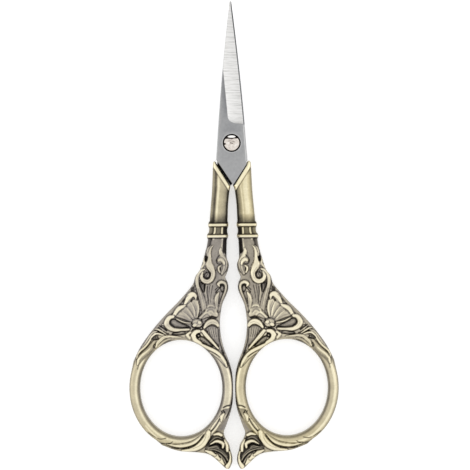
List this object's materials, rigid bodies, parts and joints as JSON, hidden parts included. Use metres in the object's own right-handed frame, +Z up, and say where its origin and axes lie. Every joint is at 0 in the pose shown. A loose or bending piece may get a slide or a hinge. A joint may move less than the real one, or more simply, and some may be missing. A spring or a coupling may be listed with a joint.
{
  "type": "embroidery scissors",
  "caption": "Small needlework scissors with hollow-ground pointed blades, a slotted pivot screw and cast ornamental handles with oval finger rings.",
  "frame": {"origin": "on the surface that the closed scissors lie on, under the middle of their whole outline", "axes": "+X across the scissors towards the right-hand handle, +Y from the finger rings to the points, +Z up, away from the surface they lie on"},
  "size_m": [0.0514, 0.1148, 0.0042],
  "materials": {
    "blade_steel": "satin blank with a bright finely ground bevel",
    "antique_brass": "antique plating, dark in the recesses and rubbed bright on the high spots",
    "polished_nickel": "polished"
  },
  "bodies": {
    "rear_half": {"rear_blade": "blade_steel", "left_handle": "antique_brass", "pivot_screw": "polished_nickel"},
    "front_half": {"front_blade": "blade_steel", "right_handle": "antique_brass"}
  },
  "joints": [
    {"name": "pivot", "type": "hinge", "parent": "rear_half", "child": "front_half", "pos_m": [0, 0.02254, 0], "axis": [0, 0, 1], "range_deg": [0, 100]}
  ]
}
